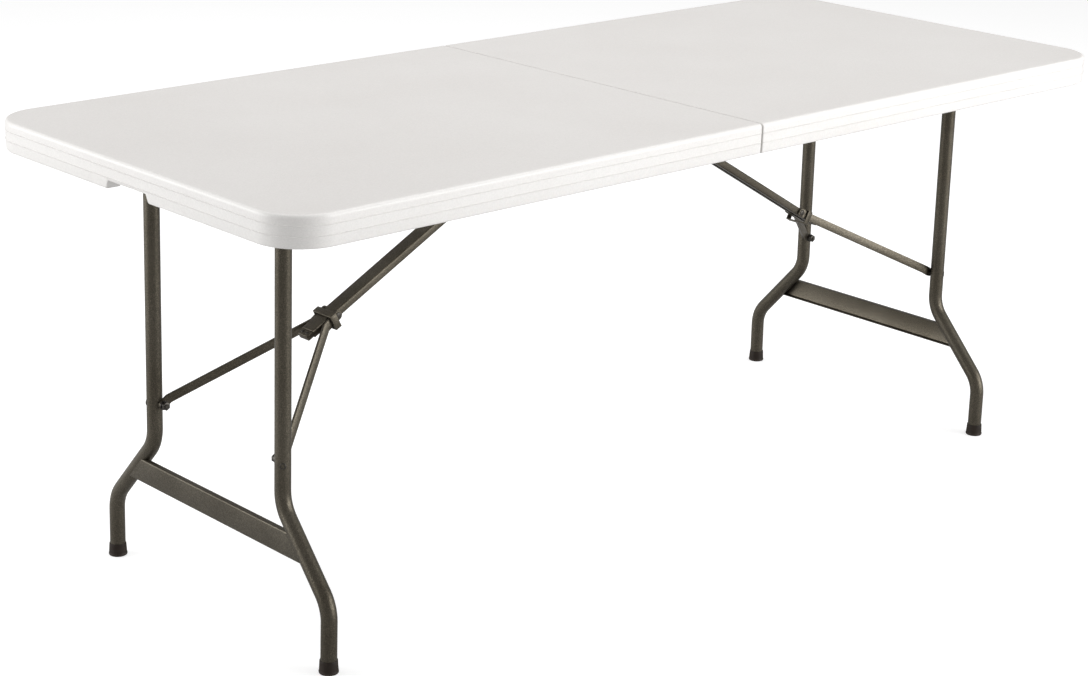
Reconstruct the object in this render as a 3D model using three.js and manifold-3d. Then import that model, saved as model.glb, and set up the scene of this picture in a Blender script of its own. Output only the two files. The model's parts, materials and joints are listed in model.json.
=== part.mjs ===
// Folding table whose blow-moulded top folds in half, with a folding wishbone leg frame under each half.
// Millimetres, +Z up. The origin is on the floor under the middle of the top. +X runs along the table's
// length, +Y across it. Each half is built once with its own +X pointing from the centre seam to its end;
// the left half is the same group turned half a turn about Z.
import * as THREE from 'three';
import { mergeVertices } from 'three/addons/utils/BufferGeometryUtils.js';
import Module from 'manifold-3d';

// Whole table
const tableLength = 1829;
const tableWidth = 762;
const tableHeight = 730;
const seamGap = 1;
const fitGap = 0.3;

// Hollow plastic top
const rimDepth = 47.5;
const rimWidth = 26;
const slabThickness = 16;
const skin = 3;
const cornerRadius = 75;
const edgeRound = 6;
const seamLipDepth = 30;
const seamLipWidth = 18;
const notchWidth = 100;
const notchDepth = 12.5;
const tackOffRadius = 9;
const tackOffPitch = 150;
const ventRadius = 4;

// Side rails, C channel opening towards the rim
const railHeight = 25;
const railWidth = 19;
const railSheet = 1.8;
const railStart = 22;
const railPastPivot = 68;
const railRimGap = 3;
const screwRadius = 2;
const screwHeadRadius = 4.5;
const screwHeadHeight = 2.2;
const screwFromEnd = 90;

// Centre hinges
const hingeDrop = 0.5;
const hingePlate = 3;
const hingeEyeRadius = 7;
const hingePinRadius = 4;
const hingeBaseStart = 26;
const hingeBaseLength = 54;
const hingeBaseHeight = 18;
const hingeBaseGap = 3.7;
const hingeLipGap = 4;
const hingeArmRise = 2;
const hingeHeadHeight = 2.5;
const hingeHeadLip = 2;

// Leg frames
const tubeRadius = 12.5;
const tubeWall = 1.5;
const legPivotFromEnd = 152.5;
const legSplay = THREE.MathUtils.degToRad(0.9);
const upperHalfSpread = 165;
const footHalfSpread = 277;
const upperBendHeight = 227;
const lowerBendHeight = 103;
const bendRadius = 60;
const neckRadius = 6;
const neckBore = 3;
const neckLength = 8;
const crossbarEndGap = 2;
const footHeight = 21;
const footTopRadius = 14;
const footSoleRadius = 15;
const footSole = 5;
const footEdge = 1;
const footBandHeight = 9;
const footBoreGap = 0.6;
const stretcherHeight = 39;
const stretcherBottom = 155;
const stretcherFlange = 9.5;
const stretcherSheet = 1.6;
const stretcherOffset = 11.5;
const stretcherLap = 5;
const kneeHeight = 292;
const kneeInset = 5;
const boltHeadRadius = 5;
const boltHeadHeight = 1.5;

// Folding braces
const braceBracketFromSeam = 45;
const bracePinDrop = 12;
const braceWidth = 27;
const braceDepth = 13.5;
const braceSheet = 1.6;
const braceHeel = 6;
const braceTail = 62;
const pivotRadius = 4;
const pivotHeadRadius = 6;
const leftElbowRise = 20;
const rightElbowRise = -3;
const armThickness = 4;
const armHeight = 15;
const armRunAtElbow = 27;
const armRunAtKnee = 14;
const blockLength = 22;
const blockSetback = 1;
const nutHeight = 5;
const leftRingStart = 4;
const rightRingStart = 12;
const ringLength = 12;
const ringStrip = 2.2;
const ringTopGap = 0.7;
const ringSlackBelow = 6.5;
const pinHead = 1.2;
const bracketEar = 2;
const bracketPinHead = 2;
const bracketEarLap = 2;
const bracketLength = 28;
const bracketWidth = 60;

// Carry handle at the end of the right half
const handleRod = 3.5;
const handleReach = 55;
const handleHalfWidth = 42;
const handleBend = 7;
const handlePivotFromEnd = 42;
const clipThickness = 9;
const clipRadius = 7;
const clipRimRise = 1;
const clipBendGap = 1;
const handleTip = 2;

// Facets
const tubeSides = 16;
const boreSides = 8;
const pinSides = 12;
const bendSteps = 5;

// How far a cutting shape runs past what it cuts
const past = 1;
const farPast = 5;

const wasm = await Module();
wasm.setup();

// Places worked out from the sizes above, in a half's own frame
const halfLength = tableLength / 2;
const halfWidth = tableWidth / 2;
const rimBottom = tableHeight - rimDepth;
const underside = tableHeight - slabThickness;
const railTop = underside - fitGap;
const lipBottom = tableHeight - seamLipDepth;
const railOuter = halfWidth - rimWidth - railRimGap;
const railInner = railOuter - railWidth;
const legPivotX = halfLength - legPivotFromEnd;
const legPivotZ = railTop - railHeight + railSheet + neckRadius;
const kneeDrop = legPivotZ - kneeHeight;
const hingeZ = rimBottom - hingeDrop;
const tubeInner = upperHalfSpread - tubeRadius;
const braceSide = braceWidth / 2;
const armInner = braceSide + 2 * fitGap;
const armOuter = armInner + armThickness;

const handlePivotX = halfLength - handlePivotFromEnd;
const handlePivotZ = rimBottom + clipRadius + clipRimRise;
const clipStart = handleHalfWidth + handleBend + clipBendGap;

// Brace linkage. Folded, the lower arms double back along the upper brace; standing, the elbow sits a little
// off the straight line from the brace's pin to the knee, by what the play in its joints allows.
const braceTop = new THREE.Vector2(braceBracketFromSeam, underside - bracePinDrop);
const legPivot = new THREE.Vector2(legPivotX, legPivotZ);
const kneeOpen = new THREE.Vector2(-kneeInset, -kneeDrop).rotateAround(new THREE.Vector2(), legSplay);
kneeOpen.add(legPivot);
const kneeFolded = new THREE.Vector2(legPivotX - kneeDrop, legPivotZ + kneeInset);
const braceSpan = braceTop.distanceTo(kneeOpen);
const foldedSpan = braceTop.distanceTo(kneeFolded);

function linkage(elbowRise) {
  const freedom = braceSpan ** 2 - foldedSpan ** 2;
  const reach = braceSpan * Math.sqrt(1 + (4 * elbowRise ** 2) / freedom);
  const alongUpper = (braceSpan + (foldedSpan * reach) / braceSpan) / 2;
  const upperTurn = Math.atan2(elbowRise, alongUpper);
  const lowerTurn = Math.atan2(elbowRise, braceSpan - alongUpper);
  const straight = Math.atan2(braceTop.y - kneeOpen.y, kneeOpen.x - braceTop.x);
  return {
    upper: (reach + foldedSpan) / 2,
    lower: (reach - foldedSpan) / 2,
    slope: straight - upperTurn,
    bend: upperTurn + lowerTurn,
  };
}

const steel = { color: 0x6b665b, roughness: 0.45, metalness: 0.6 };
const zinc = { color: 0x8f8d86, roughness: 0.4, metalness: 0.9 };
const plastic = { color: 0xe9e6e0, roughness: 0.55, metalness: 0 };
const rubber = { color: 0x3f352d, roughness: 0.8, metalness: 0 };

// ---- Solids: a small wrapper over the boolean library -------------------------------------------

function toSolid(geometry) {
  const bare = geometry.index ? geometry.toNonIndexed() : geometry.clone();
  bare.deleteAttribute('normal');
  bare.deleteAttribute('uv');
  const merged = mergeVertices(bare, 1e-4);
  return new wasm.Manifold(new wasm.Mesh({
    numProp: 3,
    vertProperties: new Float32Array(merged.attributes.position.array),
    triVerts: new Uint32Array(merged.index.array),
  }));
}

function toGeometry(solid) {
  const mesh = solid.getMesh();
  const geometry = new THREE.BufferGeometry();
  geometry.setAttribute('position', new THREE.BufferAttribute(new Float32Array(mesh.vertProperties), 3));
  geometry.setIndex(new THREE.BufferAttribute(new Uint32Array(mesh.triVerts), 1));
  return geometry;
}

function cut(base, ...tools) {
  return tools.reduce((left, tool) => left.subtract(tool), base);
}

function join(base, ...others) {
  return others.reduce((left, other) => left.add(other), base);
}

// ---- Plain shapes ------------------------------------------------------------------------------

const alongX = new THREE.Matrix4().makeBasis(
  new THREE.Vector3(0, 1, 0), new THREE.Vector3(0, 0, 1), new THREE.Vector3(1, 0, 0));
const alongMinusY = new THREE.Matrix4().makeBasis(
  new THREE.Vector3(1, 0, 0), new THREE.Vector3(0, 0, 1), new THREE.Vector3(0, -1, 0));

function prism(shape, depth) {
  return new THREE.ExtrudeGeometry(shape, { depth, bevelEnabled: false, curveSegments: 6 });
}

// A shape drawn in Y and Z, run from x0 to x1
function prismX(shape, x0, x1) {
  return toSolid(prism(shape, x1 - x0).applyMatrix4(alongX).translate(x0, 0, 0));
}

// A shape drawn in X and Z, run from y0 to y1
function prismY(shape, y0, y1) {
  return toSolid(prism(shape, y1 - y0).applyMatrix4(alongMinusY).translate(0, y1, 0));
}

// A shape drawn in X and Y, run from z0 to z1
function prismZ(shape, z0, z1) {
  return toSolid(prism(shape, z1 - z0).translate(0, 0, z0));
}

function box(x0, x1, y0, y1, z0, z1) {
  const geometry = new THREE.BoxGeometry(x1 - x0, y1 - y0, z1 - z0);
  return toSolid(geometry.translate((x0 + x1) / 2, (y0 + y1) / 2, (z0 + z1) / 2));
}

function polygon(points) {
  return new THREE.Shape(points.map(([x, y]) => new THREE.Vector2(x, y)));
}

function ring(radius, sides, x = 0, y = 0) {
  const points = [];
  for (let i = 0; i < sides; i += 1) {
    const angle = ((i + 0.5) * 2 * Math.PI) / sides;
    points.push([x + radius * Math.cos(angle), y + radius * Math.sin(angle)]);
  }
  return polygon(points);
}

// A round bar along Y through x and z
function barY(radius, y0, y1, x, z, sides = pinSides) {
  return prismY(ring(radius, sides, x, z), y0, y1);
}

// A shape turned about the local Z axis from a closed outline of [radius, height] points
function turned(outline, sides) {
  const points = outline.map(([radius, height]) => new THREE.Vector2(radius, height));
  const geometry = new THREE.LatheGeometry(points, sides).rotateX(Math.PI / 2);
  const solid = toSolid(geometry);
  return solid.volume() < 0 ? toSolid(flipped(geometry)) : solid;
}

function flipped(geometry) {
  const index = geometry.index.array.slice();
  for (let i = 0; i < index.length; i += 3) {
    [index[i], index[i + 1]] = [index[i + 1], index[i]];
  }
  const copy = geometry.clone();
  copy.setIndex(new THREE.BufferAttribute(index, 1));
  return copy;
}

// A path through corner points, each corner rounded to a radius, stepped at its own bend points
class BentPath extends THREE.Curve {
  constructor(corners, radius, steps) {
    super();
    this.points = [corners[0].clone()];
    for (let i = 1; i < corners.length - 1; i += 1) {
      this.addBend(corners[i - 1], corners[i], corners[i + 1], radius, steps);
    }
    this.points.push(corners[corners.length - 1].clone());
  }

  addBend(before, corner, after, radius, steps) {
    const into = corner.clone().sub(before).normalize();
    const out = after.clone().sub(corner).normalize();
    const turn = into.angleTo(out);
    const reach = radius * Math.tan(turn / 2);
    const inward = out.clone().sub(into).normalize();
    const centre = corner.clone().addScaledVector(inward, radius / Math.cos(turn / 2));
    const start = corner.clone().addScaledVector(into, -reach).sub(centre);
    const axis = into.clone().cross(out).normalize();
    for (let step = 0; step <= steps; step += 1) {
      const spoke = start.clone().applyAxisAngle(axis, (turn * step) / steps);
      this.points.push(spoke.add(centre));
    }
  }

  get steps() {
    return this.points.length - 1;
  }

  getPointAt(u) {
    return this.points[Math.round(u * this.steps)].clone();
  }

  getTangentAt(u) {
    const i = Math.round(u * this.steps);
    const before = this.points[Math.max(i - 1, 0)];
    const after = this.points[Math.min(i + 1, this.steps)];
    const here = this.points[i];
    const into = i > 0 ? here.clone().sub(before).normalize() : new THREE.Vector3();
    const out = i < this.steps ? after.clone().sub(here).normalize() : new THREE.Vector3();
    return into.add(out).normalize();
  }
}

function sweep(shape, path) {
  return toSolid(new THREE.ExtrudeGeometry(shape, { extrudePath: path, steps: path.steps }));
}

// A strip of even thickness along a bent centre line, as an outline
function strip(line, thickness) {
  const points = line.map(([x, y]) => new THREE.Vector2(x, y));
  const left = [];
  const right = [];
  points.forEach((here, i) => {
    const at = Math.max(i, 1);
    const next = Math.min(i + 1, points.length - 1);
    const into = points[at].clone().sub(points[at - 1]).normalize();
    const out = points[next].clone().sub(points[next - 1]).normalize();
    const along = into.clone().add(out).normalize();
    const half = thickness / 2 / along.dot(out);
    const across = new THREE.Vector2(-along.y, along.x).multiplyScalar(half);
    left.push(here.clone().add(across));
    right.push(here.clone().sub(across));
  });
  return new THREE.Shape([...right, ...left.reverse()]);
}

// ---- Hollow top --------------------------------------------------------------------------------

// Plan of a half, inset from its outer edges, running from startX to the rounded end
function planShape(inset, startX) {
  const x1 = halfLength - inset;
  const y1 = halfWidth - inset;
  const radius = cornerRadius - inset;
  const shape = new THREE.Shape();
  shape.moveTo(startX, -y1);
  shape.lineTo(x1 - radius, -y1);
  shape.absarc(x1 - radius, -y1 + radius, radius, -Math.PI / 2, 0, false);
  shape.lineTo(x1, y1 - radius);
  shape.absarc(x1 - radius, y1 - radius, radius, 0, Math.PI / 2, false);
  shape.lineTo(startX, y1);
  return shape;
}

function moulding() {
  const seam = seamGap / 2;
  const blank = new THREE.ExtrudeGeometry(planShape(0, seam - 2 * edgeRound), {
    depth: rimDepth - 2 * edgeRound,
    bevelThickness: edgeRound,
    bevelSize: edgeRound,
    bevelOffset: -edgeRound,
    bevelSegments: 2,
    curveSegments: 8,
  });
  blank.translate(0, 0, rimBottom + edgeRound);
  const pastSeam = box(-tableWidth, seam, -tableWidth, tableWidth, 0, 2 * tableHeight);
  const recess = prismZ(planShape(rimWidth, seamLipWidth), rimBottom - past, underside);
  const recessY = halfWidth - rimWidth;
  const underLip = box(0, seamLipWidth + past, -recessY, recessY, rimBottom - past, lipBottom);
  const notch = box(halfLength - rimWidth - past, halfLength + past, -notchWidth / 2, notchWidth / 2,
    rimBottom - past, rimBottom + notchDepth);
  return cut(toSolid(blank), pastSeam, recess, underLip, notch);
}

// The air space inside the moulding, with posts where the two skins are pinched together
function hollow() {
  const seam = seamGap / 2 + skin;
  const slabSpace = planShape(skin, seam);
  for (let x = tackOffPitch / 2 + seam; x < halfLength - tackOffPitch / 2; x += tackOffPitch) {
    for (let y = -tackOffPitch; y <= tackOffPitch; y += tackOffPitch) {
      slabSpace.holes.push(ring(tackOffRadius, 8, x, y));
    }
  }
  const rimSpace = planShape(skin, seam);
  const inner = planShape(rimWidth - skin, 0);
  const rimHollow = cut(prismZ(rimSpace, rimBottom + skin, underside + 2 * skin),
    prismZ(inner, rimBottom, underside + skin));
  const notchWalls = box(halfLength - rimWidth - past, halfLength, -notchWidth / 2 - skin,
    notchWidth / 2 + skin, rimBottom, rimBottom + notchDepth + skin);
  return cut(join(prismZ(slabSpace, underside + skin, tableHeight - skin), rimHollow), notchWalls);
}

function screwPlaces() {
  const places = [];
  for (const x of [railStart + screwFromEnd, legPivotX - screwFromEnd]) {
    for (const side of [-1, 1]) {
      places.push([x, side * (railInner + railSheet + (railWidth - railSheet) / 2)]);
    }
  }
  return places;
}

function panel() {
  const vent = prismZ(ring(ventRadius, 8, tackOffPitch, tackOffPitch / 2),
    underside - past, underside + 2 * skin);
  const holes = screwPlaces().map(([x, y]) => (
    prismZ(ring(screwRadius + fitGap, boreSides, x, y), underside - past, underside + 2 * skin)));
  return cut(moulding(), hollow(), vent, ...holes);
}

// ---- Rails and their screws --------------------------------------------------------------------

function rail(side) {
  const bottom = railTop - railHeight;
  const a = side * railInner;
  const b = side * railOuter;
  const t = railSheet;
  const outline = [[a, bottom], [b, bottom], [b, bottom + t], [a + side * t, bottom + t],
    [a + side * t, railTop - t], [b, railTop - t], [b, railTop], [a, railTop]];
  const channel = prismX(polygon(side > 0 ? outline : outline.reverse()), railStart, legPivotX + railPastPivot);
  const bore = barY(neckRadius + fitGap, side > 0 ? a - past : a - t - past, side > 0 ? a + t + past : a + past,
    legPivotX, legPivotZ);
  const holes = screwPlaces().map(([x, y]) => (
    prismZ(ring(screwRadius + fitGap, boreSides, x, y), railTop - t - past, railTop + past)));
  return cut(channel, bore, ...holes);
}

function screw() {
  const seat = railTop - railSheet - fitGap;
  const tip = tableHeight - skin - 2;
  return turned([[0, seat - screwHeadHeight], [screwHeadRadius, seat - screwHeadHeight],
    [screwHeadRadius, seat], [screwRadius, seat], [screwRadius, tip - screwRadius], [0, tip]], 8);
}

// ---- Centre hinge ------------------------------------------------------------------------------

const hingeBaseTop = railTop - hingeBaseGap;
const hingeBaseLow = hingeBaseTop - hingeBaseHeight;

function hingeOutline() {
  const baseEnd = hingeBaseStart + hingeBaseLength;
  const shape = new THREE.Shape();
  shape.moveTo(baseEnd, hingeBaseTop);
  shape.lineTo(hingeBaseStart, hingeBaseTop);
  shape.lineTo(hingeBaseStart, lipBottom - hingeLipGap);
  shape.absarc(0, hingeZ, hingeEyeRadius, Math.PI / 3, (Math.PI * 3) / 2, false);
  shape.lineTo(hingeBaseStart, hingeBaseLow - hingeArmRise);
  shape.lineTo(baseEnd, hingeBaseLow);
  shape.holes.push(ring(hingePinRadius + fitGap, pinSides, 0, hingeZ));
  return shape;
}

// Leaves of the two halves lie side by side on the pin: the outer one belongs to the left half
const outerLeafFace = railInner - fitGap;
const innerLeafFace = outerLeafFace - hingePlate - fitGap;

function outerLeaf(side) {
  const far = side * outerLeafFace;
  const near = side * (outerLeafFace - hingePlate);
  return prismY(hingeOutline(), Math.min(far, near), Math.max(far, near));
}

function innerLeaf(side) {
  const far = side * innerLeafFace;
  const near = side * (innerLeafFace - hingePlate);
  const plate = prismY(hingeOutline(), Math.min(far, near), Math.max(far, near));
  const pad = box(hingeBaseStart, hingeBaseStart + hingeBaseLength,
    Math.min(side * outerLeafFace, near), Math.max(side * outerLeafFace, near),
    hingeBaseLow + hingeArmRise, hingeBaseTop - hingeArmRise);
  return join(plate, pad);
}

function hingePin() {
  const inner = innerLeafFace - hingePlate - fitGap;
  const outer = outerLeafFace + fitGap;
  const head = hingePinRadius + hingeHeadLip;
  const first = inner - hingeHeadHeight;
  const last = outer + hingeHeadHeight;
  return turned([[0, first], [head, first], [head, inner], [hingePinRadius, inner], [hingePinRadius, outer],
    [head, outer], [head, last], [0, last]], pinSides);
}

// ---- Leg frame, in a frame whose origin is the leg pivot ---------------------------------------

function crossbar() {
  const end = railInner - crossbarEndGap;
  const tip = railInner + railSheet + neckLength;
  const bore = tubeRadius - tubeWall;
  const wallEnd = end - tubeWall;
  return turned([[neckBore, -tip], [neckRadius, -tip], [neckRadius, -end], [tubeRadius, -end],
    [tubeRadius, end], [neckRadius, end], [neckRadius, tip], [neckBore, tip],
    [neckBore, wallEnd], [bore, wallEnd], [bore, -wallEnd], [neckBore, -wallEnd], [neckBore, -tip]],
  tubeSides);
}

const tubeTop = 0;
const upperBend = -(legPivotZ - upperBendHeight) / Math.cos(legSplay);
const lowerBend = -(legPivotZ - lowerBendHeight) / Math.cos(legSplay);
const tubeEnd = -(legPivotZ - footSole - fitGap) / Math.cos(legSplay);

function legPath(side) {
  return new BentPath([
    new THREE.Vector3(0, side * upperHalfSpread, tubeTop),
    new THREE.Vector3(0, side * upperHalfSpread, upperBend),
    new THREE.Vector3(0, side * footHalfSpread, lowerBend),
    new THREE.Vector3(0, side * footHalfSpread, tubeEnd),
  ], bendRadius, bendSteps);
}

function legTube(side) {
  const section = ring(tubeRadius, tubeSides);
  section.holes.push(ring(tubeRadius - tubeWall, boreSides));
  const saddle = barY(tubeRadius + fitGap, -tableWidth, tableWidth, 0, 0, tubeSides);
  const outer = side * (upperHalfSpread + 2 * tubeRadius);
  const inner = side * (upperHalfSpread - 2 * tubeRadius);
  const boltHole = barY(pivotRadius + fitGap, Math.min(outer, inner), Math.max(outer, inner),
    -kneeInset, -kneeDrop);
  return cut(sweep(section, legPath(side)), saddle, boltHole);
}

// Channel between the legs: the web faces the end of the table and its ends follow the slanted tubes
function stretcher() {
  const z0 = -(legPivotZ - stretcherBottom) / Math.cos(legSplay);
  const z1 = z0 + stretcherHeight;
  const x1 = stretcherOffset;
  const x0 = stretcherOffset - stretcherFlange;
  const t = stretcherSheet;
  const outline = polygon([[x0, z0], [x1, z0], [x1, z1], [x0, z1], [x0, z1 - t], [x1 - t, z1 - t],
    [x1 - t, z0 + t], [x0, z0 + t]]);
  const channel = prismY(outline, -footHalfSpread, footHalfSpread);
  const slope = (footHalfSpread - upperHalfSpread) / (upperBend - lowerBend);
  const axisAt = (z) => upperHalfSpread + (upperBend - z) * slope;
  const lap = stretcherLap / Math.cos(Math.atan(slope));
  const under = z0 - farPast;
  const over = z1 + farPast;
  const low = axisAt(under) - lap;
  const high = axisAt(over) - lap;
  const span = prismX(polygon([[-low, under], [low, under], [high, over], [-high, over]]),
    x0 - farPast, x1 + farPast);
  const tubes = [-1, 1].map((side) => sweep(ring(tubeRadius + fitGap, tubeSides), new BentPath([
    new THREE.Vector3(0, side * axisAt(upperBend), upperBend),
    new THREE.Vector3(0, side * axisAt(lowerBend), lowerBend),
  ], 1, 1)));
  return cut(channel.intersect(span), ...tubes);
}

// Bolt through a leg tube: its head is outside and its shank ends flush with the inner side
function legBolt(side) {
  const outer = upperHalfSpread + tubeRadius + fitGap;
  const inner = tubeInner + fitGap;
  const head = turned([[0, inner], [pivotRadius, inner], [pivotRadius, outer], [boltHeadRadius, outer],
    [boltHeadRadius, outer + boltHeadHeight / 2], [pivotRadius, outer + boltHeadHeight],
    [0, outer + boltHeadHeight]], pinSides);
  return side > 0 ? head : head.rotate([0, 0, 180]);
}

function footCap() {
  const bore = tubeRadius + footBoreGap;
  return turned([[0, 0], [footSoleRadius - footEdge, 0], [footSoleRadius, 2 * footEdge],
    [footSoleRadius - footEdge / 2, footBandHeight],
    [footTopRadius, footHeight], [bore, footHeight], [bore, footSole], [0, footSole]], tubeSides);
}

// ---- Folding brace, in a frame whose origin is its pin: +X runs down the brace -----------------

function channelShape(width, depth, sheet) {
  const y = width / 2;
  const z = depth / 2;
  return polygon([[-y, -z], [-y + sheet, -z], [-y + sheet, z - sheet], [y - sheet, z - sheet],
    [y - sheet, -z], [y, -z], [y, z], [-y, z]]);
}

function upperBrace(link) {
  const channel = prismX(channelShape(braceWidth, braceDepth, braceSheet), -braceHeel,
    link.upper + braceTail);
  const holes = [0, link.upper].map((x) => (
    barY(pivotRadius + fitGap, -braceWidth, braceWidth, x, 0)));
  return cut(channel, ...holes);
}

function braceBlock(link) {
  const y = braceSide - braceSheet - fitGap;
  const z = braceDepth / 2;
  const end = link.upper + braceTail;
  return box(end - blockLength, end - blockSetback,
    -y, y, -z, z - braceSheet - fitGap);
}

function bracePin() {
  const inside = braceSide + fitGap + bracketEar + 2 * fitGap;
  const tip = inside + bracketPinHead;
  return turned([[0, -tip], [pivotHeadRadius, -tip], [pivotHeadRadius, -inside], [pivotRadius, -inside],
    [pivotRadius, inside], [pivotHeadRadius, inside], [pivotHeadRadius, tip], [0, tip]], pinSides);
}

function braceBracket() {
  const y0 = braceSide + 2 * fitGap;
  const y1 = y0 + bracketEar;
  const w = bracketWidth / 2;
  const top = bracePinDrop - fitGap;
  const low = -pivotHeadRadius - bracketEarLap;
  const t = railSheet;
  const hat = polygon([[-w, top - t], [-y1, top - t], [-y1, low], [-y0, low], [-y0, top - t], [y0, top - t],
    [y0, low], [y1, low], [y1, top - t], [w, top - t], [w, top], [-w, top]]);
  return cut(prismX(hat, -bracketLength / 2, bracketLength / 2),
    barY(pivotRadius + fitGap, -bracketWidth, bracketWidth, 0, 0));
}

// Lower arm, in a frame whose origin is the joint pin: a bar on edge with an eye at each end
function lowerArm(side, link) {
  const near = side * (armInner + armThickness / 2);
  const far = side * (tubeInner - 2 * fitGap - armThickness / 2);
  const half = armHeight / 2;
  const line = [[0, near], [armRunAtElbow, near], [link.lower - armRunAtKnee, far], [link.lower, far]];
  const bar = prismZ(strip(line, armThickness), -half, half);
  const eye = (x, y, radius, thickness) => (
    barY(radius, y - thickness / 2, y + thickness / 2, x, 0, tubeSides));
  const eyes = [eye(0, near, half, armThickness), eye(link.lower, far, half, armThickness)];
  const bore = pivotRadius + fitGap;
  const holes = [eye(0, near, bore, 2 * armThickness), eye(link.lower, far, bore, 2 * armThickness)];
  return cut(join(bar, ...eyes), ...holes);
}

function jointPin() {
  const inside = armOuter + fitGap;
  return turned([[0, -inside - pinHead], [pivotHeadRadius, -inside - pinHead], [pivotHeadRadius, -inside],
    [pivotRadius, -inside], [pivotRadius, inside], [pivotHeadRadius, inside],
    [pivotHeadRadius, inside + pinHead], [0, inside + pinHead]], pinSides);
}

// Nut with a stub shank, seated in the free end of a lower arm
function armNut(side) {
  const outer = tubeInner - 2 * fitGap;
  const inner = outer - armThickness - fitGap;
  const end = inner - nutHeight;
  const nut = turned([[0, end], [pivotHeadRadius, end], [pivotHeadRadius, inner],
    [pivotRadius, inner], [pivotRadius, outer], [0, outer]], 6);
  return side > 0 ? nut : nut.rotate([0, 0, 180]);
}

// Locking ring that slides along the brace over the joint
function lockRing(x0) {
  const x1 = x0 + ringLength;
  const y = armOuter + fitGap + pinHead + 2 * fitGap;
  const top = armHeight / 2 + ringTopGap;
  const low = -armHeight / 2 - ringSlackBelow;
  const s = ringStrip;
  const outer = polygon([[-y - s, low - s], [y + s, low - s], [y + s, top + s], [-y - s, top + s]]);
  const inner = polygon([[-y, low], [y, low], [y, top], [-y, top]]);
  return cut(prismX(outer, x0, x1), prismX(inner, x0 - past, x1 + past));
}

// ---- Carry handle, in a frame whose origin is the middle of its pivot axis ----------------------

function handle() {
  const y0 = clipStart + clipThickness + handleTip;
  const y1 = handleHalfWidth;
  const corners = [[0, y0], [0, y1], [-handleReach, y1], [-handleReach, -y1], [0, -y1], [0, -y0]];
  const path = new BentPath(corners.map(([x, y]) => new THREE.Vector3(x, y, 0)), handleBend, 3);
  return sweep(ring(handleRod, 8), path);
}

function handleClip() {
  const shape = new THREE.Shape();
  const top = underside - fitGap - handlePivotZ;
  shape.moveTo(clipRadius, top);
  shape.lineTo(-clipRadius, top);
  shape.lineTo(-clipRadius, 0);
  shape.absarc(0, 0, clipRadius, Math.PI, 2 * Math.PI, false);
  shape.holes.push(ring(handleRod + fitGap, 8));
  return prismY(shape, -clipThickness / 2, clipThickness / 2);
}

// ---- Assembly ----------------------------------------------------------------------------------

function add(parent, name, solid, look, place = [0, 0, 0]) {
  const mesh = new THREE.Mesh(toGeometry(solid), new THREE.MeshStandardMaterial(look));
  mesh.name = name;
  mesh.position.set(...place);
  parent.add(mesh);
  return mesh;
}

function group(parent, x, z, turnY = 0) {
  const frame = new THREE.Group();
  frame.position.set(x, 0, z);
  frame.rotation.y = turnY;
  parent.add(frame);
  return frame;
}

function addTop(half, name, edge) {
  add(half, `${name}_panel`, panel(), plastic);
  for (const side of [-1, 1]) {
    add(half, `${name}_${edge(side)}_rail`, rail(side), steel);
    const leaf = name === 'left' ? outerLeaf(side) : innerLeaf(side);
    add(half, `${name}_${edge(side)}_hinge_leaf`, leaf, steel);
  }
  screwPlaces().forEach(([x, y], i) => {
    const end = i < 2 ? 'seam' : 'leg';
    add(half, `${name}_${edge(Math.sign(y))}_${end}_screw`, screw(), zinc, [x, y, 0]);
  });
}

function addLegs(half, name, edge) {
  const frame = group(half, legPivotX, legPivotZ);
  add(frame, `${name}_leg_crossbar`, crossbar(), steel).rotation.x = -Math.PI / 2;
  const leaning = group(frame, 0, 0, -legSplay);
  add(leaning, `${name}_leg_stretcher`, stretcher(), steel);
  for (const side of [-1, 1]) {
    add(leaning, `${name}_${edge(side)}_leg_tube`, legTube(side), steel);
    const bolt = add(leaning, `${name}_${edge(side)}_leg_bolt`, legBolt(side), zinc,
      [-kneeInset, 0, -kneeDrop]);
    bolt.rotation.x = -side * Math.PI / 2;
    const footX = Math.tan(legSplay) * (legPivotZ - footHeight / 2);
    add(frame, `${name}_${edge(side)}_foot_cap`, footCap(), rubber,
      [footX, side * footHalfSpread, -legPivotZ]);
  }
}

function addBrace(half, name, edge) {
  const bracket = group(half, braceTop.x, braceTop.y);
  add(bracket, `${name}_brace_bracket`, braceBracket(), steel);
  add(bracket, `${name}_brace_pin`, bracePin(), zinc).rotation.x = -Math.PI / 2;
  const link = linkage(name === 'left' ? leftElbowRise : rightElbowRise);
  const ringStart = name === 'left' ? leftRingStart : rightRingStart;
  const upper = group(bracket, 0, 0, link.slope);
  add(upper, `${name}_upper_brace`, upperBrace(link), steel);
  add(upper, `${name}_brace_block`, braceBlock(link), steel);
  add(upper, `${name}_lock_ring`, lockRing(link.upper + ringStart), steel);
  const lower = group(upper, link.upper, 0, link.bend);
  add(lower, `${name}_joint_pin`, jointPin(), zinc).rotation.x = -Math.PI / 2;
  for (const side of [-1, 1]) {
    add(lower, `${name}_${edge(side)}_brace_arm`, lowerArm(side, link), steel);
    const nut = add(lower, `${name}_${edge(side)}_arm_nut`, armNut(side), zinc, [link.lower, 0, 0]);
    nut.rotation.x = -side * Math.PI / 2;
  }
}

function addHandle(half) {
  add(half, 'carry_handle', handle(), rubber, [handlePivotX, 0, handlePivotZ]);
  for (const side of [-1, 1]) {
    const y = side * (clipStart + clipThickness / 2);
    add(half, side > 0 ? 'rear_handle_clip' : 'front_handle_clip', handleClip(), plastic,
      [handlePivotX, y, handlePivotZ]);
  }
}

function addHalf(table, name) {
  const half = new THREE.Group();
  half.rotation.z = name === 'left' ? Math.PI : 0;
  const edge = (side) => ((name === 'left' ? -side : side) > 0 ? 'rear' : 'front');
  addTop(half, name, edge);
  addLegs(half, name, edge);
  addBrace(half, name, edge);
  table.add(half);
  return half;
}

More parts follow.
